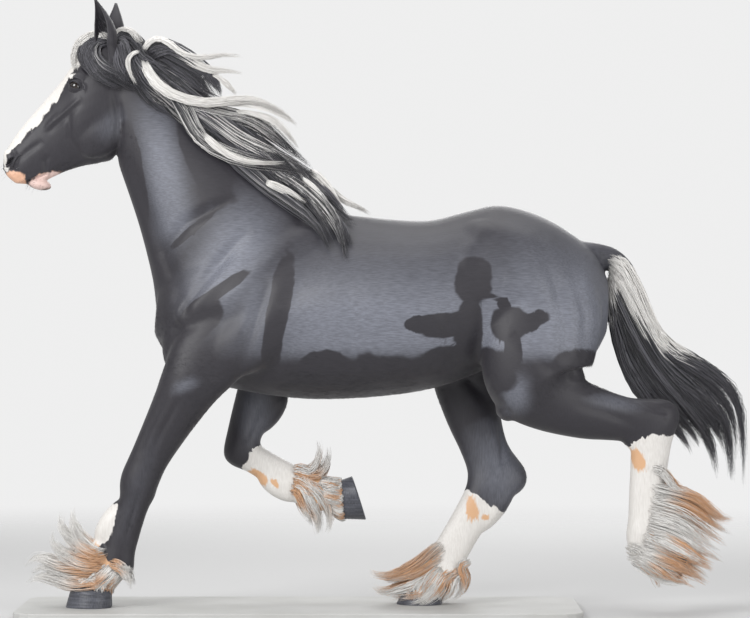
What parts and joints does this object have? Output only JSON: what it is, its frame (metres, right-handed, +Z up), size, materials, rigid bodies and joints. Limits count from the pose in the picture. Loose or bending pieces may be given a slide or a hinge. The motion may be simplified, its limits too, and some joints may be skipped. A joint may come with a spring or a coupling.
{
  "type": "heavy horse",
  "caption": "Life-size still model of a black heavy draught horse with long white leg feather, at the trot on a plain flat base.",
  "frame": {"origin": "centre of the base's underside", "axes": "-X towards the head, +X towards the tail, +Y to the horse's right (off) side, +Z up"},
  "size_m": [3.2115, 0.9, 2.6409],
  "materials": {
    "coat": "short glossy black hair; mane and tail black with silver-white locks",
    "stocking": "long silky white hair, apricot towards the tips",
    "hoof": "dark slate horn, satin",
    "eye": "polished dark brown",
    "base": "plain matt grey"
  },
  "bodies": {
    "root": {"torso": "coat", "neck": "coat", "head": "coat", "tail": "coat", "upper_leg_fore_near": "coat", "lower_leg_fore_near": "stocking", "hoof_fore_near": "hoof", "upper_leg_fore_off": "coat", "lower_leg_fore_off": "stocking", "hoof_fore_off": "hoof", "upper_leg_hind_near": "coat", "lower_leg_hind_near": "stocking", "hoof_hind_near": "hoof", "upper_leg_hind_off": "coat", "lower_leg_hind_off": "stocking", "hoof_hind_off": "hoof", "ear_left": "coat", "eye_left": "eye", "ear_right": "coat", "eye_right": "eye", "stand_base": "base"}
  },
  "joints": []
}
